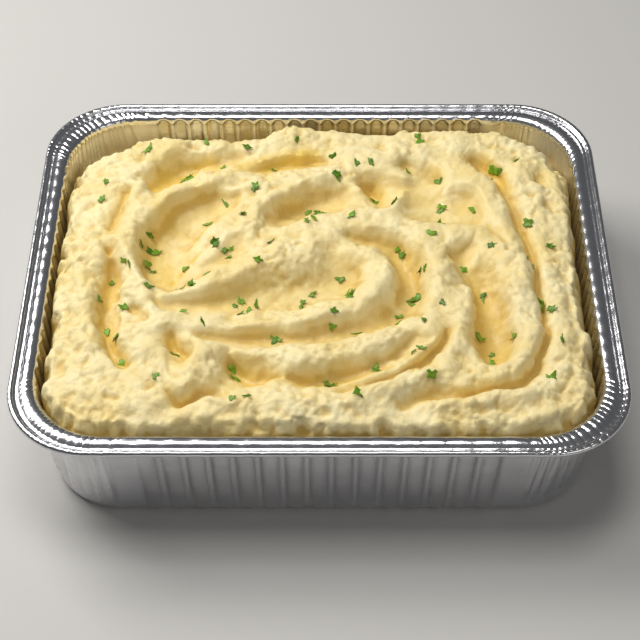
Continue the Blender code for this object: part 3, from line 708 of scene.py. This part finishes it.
def make_mash(surface, mat):
    """The swirled top with its side down the walls and a flat underside, one closed piece."""
    cells_x, cells_y = MASH_CELLS
    top = surface.points()
    row = cells_x + 1
    quads = band_faces(cells_y + 1, row, False)
    border = np.concatenate((np.arange(cells_x), np.arange(cells_y) * row + cells_x,
                             cells_y * row + np.arange(cells_x, 0, -1), np.arange(cells_y, 0, -1) * row))
    u, v = surface.u[border], surface.v[border]
    levels = np.array((0.039, 0.033, 0.024, 0.014, 0.006, 0.0012))
    extra = np.array((0, 0, 0, 0, 0, 0.0035))
    rings = [top[border]]
    for height, inwards in zip(levels, extra):
        inset = wall_inset(height) + FOIL + MASH_GAP + inwards
        ring_x, ring_y = plan_point(u, v, HALF_X - inset, HALF_Y - inset, surface.corner)
        rings.append(np.column_stack((ring_x, ring_y, np.full(len(border), height))))
    count = len(border)
    start = len(top)
    side = band_faces(len(rings), count, True)[:, ::-1]
    index = np.concatenate((border, start + np.arange(count * (len(rings) - 1))))
    side = index[side]
    last = rings[-1]
    middle = start + count * (len(rings) - 1)
    inner = last * (0.5, 0.5, 1.0)
    inner_index = middle + np.arange(count)
    last_index = index[-count:]
    nxt = np.roll(np.arange(count), -1)
    under = np.column_stack((last_index[nxt], last_index, inner_index, inner_index[nxt]))
    points = np.vstack([top] + rings[1:] + [inner])
    faces = np.vstack((quads, side, under))
    piece = make_piece("mashed_potato", points, faces, mat)
    fill_hole(piece, inner_index[::-1])
    spare = len(points) - len(top)
    point_value(piece, "butter", np.append(surface.butter, np.zeros(spare)))
    point_value(piece, "wiped", np.append(surface.wiped, np.zeros(spare)))
    # Crease and hollow depths in millimetres, for the painted shade.
    point_value(piece, "cavity", np.append(surface.cavity / MM, np.zeros(spare)))
    point_value(piece, "hollow", np.append(surface.hollow / MM, np.zeros(spare)))
    surface.top = top
    surface.normals = grid_normals(top, surface.shape)
    return piece


def fill_hole(piece, loop):
    """Close a flat ring of points with one face."""
    work = bmesh.new()
    work.from_mesh(piece.data)
    work.verts.ensure_lookup_table()
    face = work.faces.new([work.verts[int(i)] for i in loop])
    bmesh.ops.triangulate(work, faces=[face])
    work.to_mesh(piece.data)
    work.free()


# ------------------------------------------------------------------ the foil tray

class Plan:
    """Columns round a rounded rectangle: four straight sides and four corners."""

    def __init__(self):
        turn, corner, share, flutes, plain = [], [], [], [], []
        for quarter, (count, bare) in enumerate(zip(SIDE_FLUTES, PLAIN_ENDS)):
            steps = count * STEPS_PER_FLUTE
            turn += [quarter] * (steps + CORNER_STEPS)
            corner += [False] * steps + [True] * CORNER_STEPS
            share += list(np.linspace(-1, 1, steps, endpoint=False))
            share += list(np.linspace(0, 1, CORNER_STEPS, endpoint=False))
            flutes += [count] * (steps + CORNER_STEPS)
            plain += [bare] * (steps + CORNER_STEPS)
        self.turn = np.array(turn)
        self.corner = np.array(corner)
        self.share = np.array(share)
        self.flutes = np.array(flutes)
        self.plain = np.array(plain)

    def ring(self, inset, corner, push=0.0):
        """Points (x, y) of the outline at an inset, pushed outwards by an amount a column."""
        half = np.where(self.turn % 2 == 0, HALF_X, HALF_Y) - inset
        other = np.where(self.turn % 2 == 0, HALF_Y, HALF_X) - inset
        run = other - corner
        angle = self.share * math.radians(90)
        out = np.where(self.corner, half - corner + (corner + push) * np.cos(angle), half + push)
        along = np.where(self.corner, run + (corner + push) * np.sin(angle), self.share * run)
        a = self.turn * math.radians(90)
        return np.column_stack((out * np.cos(a) - along * np.sin(a), out * np.sin(a) + along * np.cos(a)))


def flute_push(plan, height, run_x, run_y):
    """How far the wall is pressed out at a height.

    Straight sides carry round-backed channels with domed ends; the corners are gathered in
    fine, uneven pleats that fan out towards the foot.
    """
    run = np.where(plan.turn % 2 == 0, run_y, run_x)
    pitch = 2 * run / plan.flutes
    phase = (plan.share + 1) * plan.flutes / 2
    fluted = (phase > plan.plain) & (phase < plan.flutes - plan.plain)
    off = (phase - np.floor(phase) - 0.5) * pitch
    half = FLUTE_HALF_WIDTH * pitch
    above = np.maximum(height - (FLUTE_TOP - 0.6 * half), 0) / 0.6
    below = np.maximum((FLUTE_FOOT + 0.004) - height, 0) * 1.1
    reach = np.sqrt(off ** 2 + above ** 2 + below ** 2) / half
    channel = FLUTE_DEPTH * np.sqrt(np.clip(1 - reach ** 3, 0, 1)) * fluted
    depth = 1 - height / RIM_TOP
    fan = (plan.share - 0.5) / (1 + 0.28 * depth) + 0.5
    lean = 1.4 * depth * np.sin(2.6 * plan.share + 2.1 * plan.turn)
    wander = 0.5 * np.sin(9.0 * fan + plan.turn * 1.7) + 0.3 * np.sin(23.0 * fan + plan.turn) + lean
    turn = math.pi * (fan * CORNER_PLEATS + wander)
    fold = np.abs(np.sin(turn)) ** 0.7
    broad = np.abs(np.sin(0.5 * turn + 0.7)) ** 0.7
    share = smoothstep(depth, 0.25, 0.8)
    fold = fold * (1 - 0.7 * share) + broad * 1.6 * share
    fade = smoothstep(plan.share, -0.02, 0.05) * (1 - smoothstep(plan.share, 0.95, 1.02))
    tall = smoothstep(height, 0.001, 0.010) * (1 - smoothstep(height, 0.0640, 0.0685))
    pleat = PLEAT_DEPTH * (fold - 0.6) * tall * fade
    return np.where(plan.corner, pleat, channel)


def crimp_height(arc):
    """Gathered foil along an edge: flat facets of uneven length and tilt, with sharp creases."""
    phase = arc / 0.0034 + 0.42 * np.sin(arc / 0.0105) + 0.30 * np.sin(arc / 0.0047 + 1.0)
    cell = np.floor(phase).astype(np.int64)
    part = phase - cell
    zero = np.zeros(cell.shape, dtype=np.int64)
    tilt, depth, _ = hash_grid(cell, zero, zero, 11)
    crease = np.exp(-(np.minimum(part, 1 - part) / 0.12) ** 2)
    return 0.35 * (tilt - 0.5) * (part - 0.5) - (0.35 + 0.9 * depth) * crease


def rim_profile():
    """The rim in section from the wall outwards: (inset, drop, crimp share).

    A turned-over edge, a gently convex shelf, a groove and a rolled bead that curls under.
    """
    shelf = [(0.0136, 0.0050, 0.0), (0.0135, 0.0038, 0.2), (0.0132, 0.0028, 0.4),
             (0.0127, 0.0019, 0.6), (0.0119, 0.0011, 0.9), (0.0108, 0.0005, 1.0), (0.0093, 0.0002, 1.0),
             (0.0078, 0.0003, 1.0), (0.0065, 0.0008, 0.8), (0.0055, 0.0016, 0.5), (0.0045, 0.0022, 0.3),
             (0.0036, 0.0020, 0.5)]
    radius = 0.0014
    angles = np.radians(np.linspace(200, -100, 10))
    bead = [(radius - radius * math.cos(a), radius - radius * math.sin(a), 0.5) for a in angles]
    return shelf + bead


def make_tray(mat):
    """Rings from the base's middle up the fluted walls and over the rim, then the foil's thickness."""
    plan = Plan()
    edge = plan.ring(0.009, WALL_CORNER)
    arc = np.cumsum(np.hypot(*(edge - np.roll(edge, 1, axis=0)).T))
    wrinkle = crimp_height(arc)
    run = np.where(plan.turn % 2 == 0, HALF_Y, HALF_X) - WALL_CORNER - WALL_TOP_INSET
    to_corner = np.where(plan.corner, 0.0, (1 - np.abs(plan.share)) * run)
    near = 1 - smoothstep(to_corner, CRIMP_END - 0.001, CRIMP_END + 0.001)
    phase = (plan.share + 1) * plan.flutes / 2
    ripple = np.where(plan.corner, 0.0, np.cos(2 * math.pi * phase))
    rows = []
    shine = []
    foot = WALL_BASE_INSET + FOOT_RADIUS
    run_x = HALF_X - WALL_TOP_INSET - WALL_CORNER
    run_y = HALF_Y - WALL_TOP_INSET - WALL_CORNER
    for scale in (0.04, 0.35, 0.7, 0.94):
        rows.append(np.column_stack((plan.ring(foot, WALL_CORNER) * scale, np.zeros(len(arc)))))
        shine.append(np.zeros(len(arc)))
    for angle in np.radians((0, 30, 60, 85)):
        inset = foot - FOOT_RADIUS * math.sin(angle)
        height = FOOT_RADIUS * (1 - math.cos(angle))
        push = flute_push(plan, height, run_x, run_y) * (height / FOOT_RADIUS)
        rows.append(np.column_stack((plan.ring(inset, WALL_CORNER, push), np.full(len(arc), height))))
        shine.append(np.clip(push / FLUTE_DEPTH, 0, 1))
    heights = np.concatenate((np.linspace(0.006, 0.046, 6), np.linspace(0.053, 0.0638, 5)))
    for height in heights:
        push = flute_push(plan, height, run_x, run_y)
        rows.append(np.column_stack((plan.ring(wall_inset(height), WALL_CORNER, push),
                                     np.full(len(arc), height))))
        shine.append(np.clip(push / FLUTE_DEPTH, 0, 1))
    for inset, drop, crimp in rim_profile():
        share = np.clip(inset / WALL_TOP_INSET, 0, 1)
        corner = RIM_CORNER + (WALL_CORNER - RIM_CORNER) * share
        lift = crimp * (CRIMP_LIFT * wrinkle * near + RIPPLE_LIFT * ripple * (1 - near))
        push = flute_push(plan, RIM_TOP - drop, run_x, run_y) if inset > 0.0110 else 0.0
        rows.append(np.column_stack((plan.ring(inset + FOIL, corner, push), RIM_TOP - FOIL - drop + lift)))
        shine.append(np.full(len(arc), 0.8))
    points = np.vstack(rows)
    faces = band_faces(len(rows), len(arc), True)
    tray = make_piece("foil_tray", points, faces, mat)
    point_value(tray, "shine", np.concatenate(shine))
    fill_hole(tray, np.arange(len(arc))[::-1])
    shell = tray.modifiers.new("foil", "SOLIDIFY")
    shell.thickness = FOIL
    shell.offset = -1.0
    return tray


# ------------------------------------------------------------------ parsley

# Pinches of parsley: x, y in millimetres, how many bits, how far they scatter (mm).
PINCHES = (
    (-67, 96, 1, 2), (-13, 98, 1, 2), (-44, 92, 1, 2), (-100, 88, 2, 4), (-58, 80, 1, 2), (9, 84, 1, 2),
    (28, 76, 2, 5), (-78, 70, 3, 6), (-25, 74, 1, 3), (-124, 60, 1, 2), (12, 66, 2, 5), (50, 74, 1, 2),
    (70, 66, 1, 2), (54, 98, 2, 5), (109, 75, 4, 6), (32, 56, 4, 4), (-124, 48, 1, 2), (-54, 48, 1, 2),
    (-36, 55, 2, 3), (-5, 44, 3, 4), (44, 46, 1, 2), (68, 46, 2, 4), (86, 42, 1, 2), (-64, 37, 1, 2),
    (-42, 30, 2, 4), (-2, 32, 2, 5), (18, 29, 1, 2), (70, 28, 2, 4), (118, 28, 1, 2), (-91, 18, 4, 6),
    (-59, 18, 2, 5), (-9, 22, 1, 2), (64, 12, 1, 2), (129, 9, 1, 2), (-55, 8, 3, 5), (-25, 8, 1, 2),
    (43, 10, 3, 5), (96, 8, 1, 2), (-97, 1, 2, 3), (-76, 0, 1, 2), (-111, -8, 3, 5), (-33, -8, 1, 2),
    (12, -11, 1, 3), (57, -10, 2, 3), (79, -6, 1, 2), (118, -6, 2, 4), (-60, -10, 1, 2), (-93, -24, 1, 2),
    (-69, -20, 1, 2), (-123, -28, 1, 2), (-72, -30, 4, 8), (-105, -37, 1, 2), (-44, -32, 5, 7),
    (-10, -29, 2, 4), (16, -25, 4, 7), (-4, -21, 1, 2), (53, -26, 3, 4), (93, -22, 2, 5), (120, -31, 1, 2),
    (-114, -48, 1, 2), (-64, -50, 1, 2), (7, -47, 2, 3), (46, -42, 3, 6), (69, -40, 1, 2), (124, -43, 2, 6),
    (-108, -58, 1, 2), (-22, -58, 2, 6), (18, -58, 1, 3), (86, -52, 1, 2), (105, -56, 1, 2), (128, -64, 1, 2),
    (-77, -70, 1, 2), (-104, -74, 1, 2), (-43, -76, 2, 4), (54, -72, 2, 4), (29, -77, 2, 5), (94, -68, 2, 4),
    (-87, -88, 1, 2), (6, -88, 4, 7), (60, -90, 1, 2), (123, -85, 2, 5), (20, -101, 1, 2), (-42, -104, 2, 5),
)


def leaf_bit(rng, length, width):
    """One chopped bit of leaf: a lobed, curled disc of two skins, (points, quads).

    The outline's radius swings with the angle in three to five uneven lobes; the disc is bent
    along and across and crumpled by a slow wave.
    """
    around = 12
    angle = np.linspace(0, 2 * math.pi, around, endpoint=False)
    lobes = rng.integers(3, 6)
    outline = 1 + 0.34 * np.sin(lobes * angle + rng.uniform(0, 6.28)) + 0.22 * rng.uniform(-1, 1, around)
    rings = np.array((0.12, 0.62, 1.0))[:, None] * outline[None, :]
    x = rings * np.cos(angle) * length / 2
    y = rings * np.sin(angle) * width / 2
    bend = rng.uniform(-0.35, 0.6)
    z = (bend * (x ** 2) / length + rng.uniform(-0.5, 0.5) * (y ** 2) / width
         + 0.08 * width * np.sin(5 * x / length * 2 + rng.uniform(0, 6.28)) * rings)
    top = np.stack((x, y, z + 0.00011), axis=-1).reshape(-1, 3)
    low = np.stack((x, y, z - 0.00011), axis=-1).reshape(-1, 3)
    points = np.vstack((top, low))
    quads = band_faces(3, around, True)[:, ::-1]
    half = 3 * around
    edge = 2 * around + np.arange(around)
    nxt = 2 * around + (np.arange(around) + 1) % around
    wall = np.column_stack((edge, half + edge, half + nxt, nxt))
    hub = np.arange(around)
    hub_quads = np.array([(hub[i], hub[i + 1], hub[around - 2 - i], hub[around - 1 - i])
                          for i in range(around // 2 - 1)])
    faces = np.vstack((quads, (quads + half)[:, ::-1], wall, hub_quads, (hub_quads + half)[:, ::-1]))
    return points, faces


def make_parsley(surface, mat):
    """Scatter the pinches and lay each bit on the mash, tipped a little from its slope."""
    rng = np.random.default_rng(SEED)
    all_points, all_faces, shades = [], [], []
    start = 0
    for x, y, count, scatter in PINCHES:
        for _ in range(count):
            px = (x + rng.normal(0, scatter * 0.6)) * MM
            py = (y + rng.normal(0, scatter * 0.6)) * MM
            nearest = np.argmin((surface.top[:, 0] - px) ** 2 + (surface.top[:, 1] - py) ** 2)
            spot = surface.top[nearest]
            normal = surface.normals[nearest] + rng.normal(0, 0.22, 3)
            length = rng.uniform(0.0034, 0.0066)
            width = length * rng.uniform(0.5, 0.95)
            if rng.random() < 0.12:
                length, width = rng.uniform(0.0055, 0.0075), rng.uniform(0.0014, 0.0022)
            points, faces = leaf_bit(rng, length, width)
            up = Vector(normal).normalized()
            turn = up.to_track_quat("Z", "Y").to_matrix()
            spin = rng.uniform(0, 2 * math.pi)
            c, s = math.cos(spin), math.sin(spin)
            points = points @ np.array(((c, s, 0), (-s, c, 0), (0, 0, 1)))
            points = points @ np.array(turn).T + spot + np.array(up) * 0.0006
            all_points.append(points)
            all_faces.append(faces + start)
            shades.append(np.full(len(points), rng.random()))
            start += len(points)
    piece = make_piece("parsley_bits", np.vstack(all_points), np.vstack(all_faces), mat)
    point_value(piece, "shade", np.concatenate(shades))
    return piece


# ------------------------------------------------------------------ finishes

def mash_finish():
    """Creamy potato: paler on crests, with painted shade making the hollows a deeper yellow and the creases
    tan, yellow where butter has soaked in, moist and grainy.
    """
    paint = Paint("mashed_potato", Subsurface_Weight=0.20, Subsurface_Scale=0.003, IOR=1.42)
    paint.shader.inputs["Subsurface Radius"].default_value = (0.9, 0.85, 0.40)
    butter = paint.attribute("butter")
    wiped = paint.attribute("wiped")
    cavity = paint.attribute("cavity")
    cloud = paint.noise(38, 3, 0.55)
    speck = paint.noise(420, 2, 0.6)
    crest = paint.blend(paint.spread(cloud, 0.35, 0.68), rgba(247, 231, 178), rgba(240, 216, 146))
    # Painted shade: the low hollows turn a deeper, warmer yellow.
    hollow = paint.attribute("hollow")
    low = paint.spread(hollow, -1.0, 5.0)
    body = paint.blend(low * 0.65, crest, rgba(228, 197, 106))
    # Painted shade: the fine creases turn a darker tan.
    body = paint.blend(paint.spread(cavity, 0.0, 1.3) * 0.7, body, rgba(208, 172, 84))
    soak = (paint.spread(butter * (0.7 + 0.6 * cloud), 0.30, 1.25)).clamp()
    stained = paint.blend(soak, body, rgba(232, 194, 78))
    flecked = paint.blend(paint.spread(speck, 0.60, 0.78) * 0.3, stained, rgba(250, 238, 200))
    sheen = paint.spread(soak + 0.35 * wiped, 0.0, 1.1, 0.52, 0.30)
    paint.feed(Base_Color=flecked, Roughness=sheen + 0.10 * (speck - 0.5), Coat_Weight=soak * 0.3)
    fine = paint.noise(900, 3, 0.6)
    medium = paint.noise(330, 2, 0.5)
    height = (fine * 0.4 + medium) * (1 - 0.45 * wiped)
    paint.feed(Normal=paint.bump(height, 0.0009, 0.6))
    return paint.material


def foil_finish():
    """Bright rolled aluminium with a slight grain, small dents and duller patches."""
    paint = Paint("foil", Metallic=1.0)
    cloud = paint.noise(24, 3, 0.55)
    grain = paint.noise(160, 2, 0.5, paint.stretched(1, 1, 9))
    shine = paint.attribute("shine")
    tint = paint.blend(paint.spread(cloud, 0.3, 0.7), rgba(236, 236, 238), rgba(216, 216, 220))
    dull = paint.spread(cloud, 0.25, 0.75, 0.10, 0.20) + 0.30 * (1 - shine)
    paint.feed(Base_Color=tint, Roughness=dull)
    dents = paint.noise(85, 3, 0.6)
    height = dents + 0.15 * grain
    paint.feed(Normal=paint.bump(height, 0.0012, 0.30))
    return paint.material


def parsley_finish():
    """Chopped leaf, from mid to dark green, a little waxy."""
    paint = Paint("parsley", Subsurface_Weight=0.05, Subsurface_Scale=0.001, Roughness=0.42)
    shade = paint.attribute("shade")
    vein = paint.noise(900, 2, 0.5)
    leaf = paint.blend(paint.spread(shade, 0.1, 0.9), rgba(66, 112, 12), rgba(116, 162, 28))
    paint.feed(Base_Color=paint.blend(paint.spread(vein, 0.45, 0.75) * 0.5, leaf, rgba(152, 188, 50)))
    paint.feed(Normal=paint.bump(vein, 0.0003, 0.5))
    return paint.material


# ------------------------------------------------------------------ stage

def make_floor():
    """A plain pale floor."""
    paint = Paint("floor", Roughness=0.6)
    paint.shader.inputs["Base Color"].default_value = rgba(205, 203, 199)
    side = 3.0
    corners = np.array(((-side, -side, 0), (side, -side, 0), (side, side, 0), (-side, side, 0)))
    floor = make_piece("floor", corners, np.array(((0, 1, 2, 3),)), paint.material, False)


def area_light(name, place, target, size, power, colour):
    """A soft rectangular light aimed at a point."""
    data = bpy.data.lights.new(name, "AREA")
    data.shape = "RECTANGLE"
    data.size, data.size_y = size
    data.energy = power
    data.color = colour
    lamp = bpy.data.objects.new(name, data)
    lamp.location = place
    lamp.rotation_euler = (Vector(target) - Vector(place)).to_track_quat("-Z", "Y").to_euler()
    bpy.context.scene.collection.objects.link(lamp)


def make_lights():
    """A large soft window at the back left, a weak fill from the front and a dim room."""
    middle = (0.0, 0.0, 0.06)
    area_light("window", (-0.66, 0.45, 0.95), middle, (0.7, 0.6), 11.5, (1.0, 0.985, 0.96))
    area_light("fill", (0.75, -0.9, 0.8), middle, (0.8, 0.6), 1.6, (1.0, 0.98, 0.95))
    area_light("overhead", (-0.05, 0.0, 1.3), middle, (0.5, 0.5), 5.5, (1.0, 0.99, 0.97))
    world = bpy.data.worlds.new("room")
    world.use_nodes = True
    world.node_tree.nodes["Background"].inputs["Color"].default_value = (0.8, 0.82, 0.85, 1)
    world.node_tree.nodes["Background"].inputs["Strength"].default_value = 0.12
    bpy.context.scene.world = world
    bpy.context.scene.view_settings.view_transform = "Standard"


def make_camera():
    """Looking down on the tray from the front at about 47 degrees."""
    elevation = math.radians(47.18)
    distance = 0.9527
    target = Vector((0.00045, -0.01268, 0.0357))
    data = bpy.data.cameras.new("camera")
    data.lens = 94.8
    data.sensor_width = 36.0
    data.clip_start = 0.01
    camera = bpy.data.objects.new("camera", data)
    camera.location = target + Vector((0, -math.cos(elevation), math.sin(elevation))) * distance
    camera.rotation_euler = (target - camera.location).to_track_quat("-Z", "Y").to_euler()
    bpy.context.scene.collection.objects.link(camera)
    bpy.context.scene.camera = camera


def main():
    """Stage, tray, mash and parsley."""
    make_camera()
    make_floor()
    make_lights()

    tray = make_tray(foil_finish())
    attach(tray, "root")
    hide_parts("tray")

    surface = MashSurface()
    mash = make_mash(surface, mash_finish())
    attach(mash, "root")
    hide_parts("mash")

    parsley = make_parsley(surface, parsley_finish())
    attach(parsley, "root")


main()
